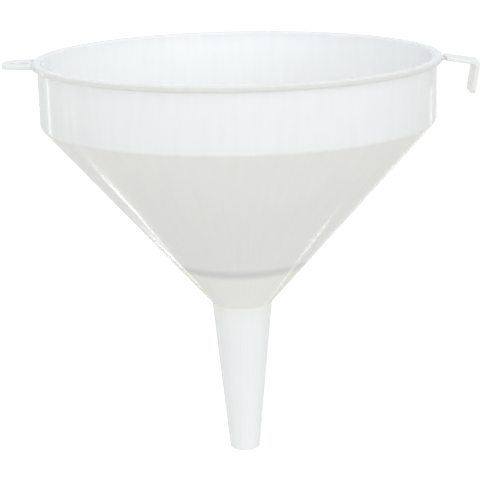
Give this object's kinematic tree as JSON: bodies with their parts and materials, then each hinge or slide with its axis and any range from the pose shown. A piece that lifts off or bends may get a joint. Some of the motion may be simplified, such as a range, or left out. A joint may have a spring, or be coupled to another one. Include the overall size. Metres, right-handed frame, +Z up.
{
  "type": "canning funnel",
  "caption": "Large translucent plastic funnel with a straight collar, steep cone, long tapered spout, hanging tab, hinged rim hook and lift-out strainer.",
  "frame": {"origin": "centre of the spout's open end", "axes": "+Z up along the funnel's axis from the spout to the mouth; the hanging tab points to -X and the hook to +X"},
  "size_m": [0.2993, 0.256, 0.263],
  "materials": {
    "natural_plastic": "glossy moulded, translucent natural white",
    "strainer_plastic": "satin moulded, white",
    "mesh": "woven nylon monofilament"
  },
  "bodies": {
    "funnel": {"funnel_body": "natural_plastic", "hook_hinge_film": "natural_plastic"},
    "hook_arm": {"hook": "natural_plastic"},
    "strainer": {"strainer_frame": "strainer_plastic", "strainer_mesh": "mesh"}
  },
  "joints": [
    {"name": "hook_fold", "type": "hinge", "parent": "funnel", "child": "hook_arm", "pos_m": [0.1296, 0, 0.25845], "axis": [0, 1, 0], "range_deg": [-48, 42], "stiffness_Nm_per_rad": 0.02, "springref_deg": -0.8, "deforming": ["hook_hinge_film"]},
    {"name": "strainer_lift", "type": "slide", "parent": "funnel", "child": "strainer", "axis": [0, 0, 1], "range_m": [0, 0.15]}
  ]
}
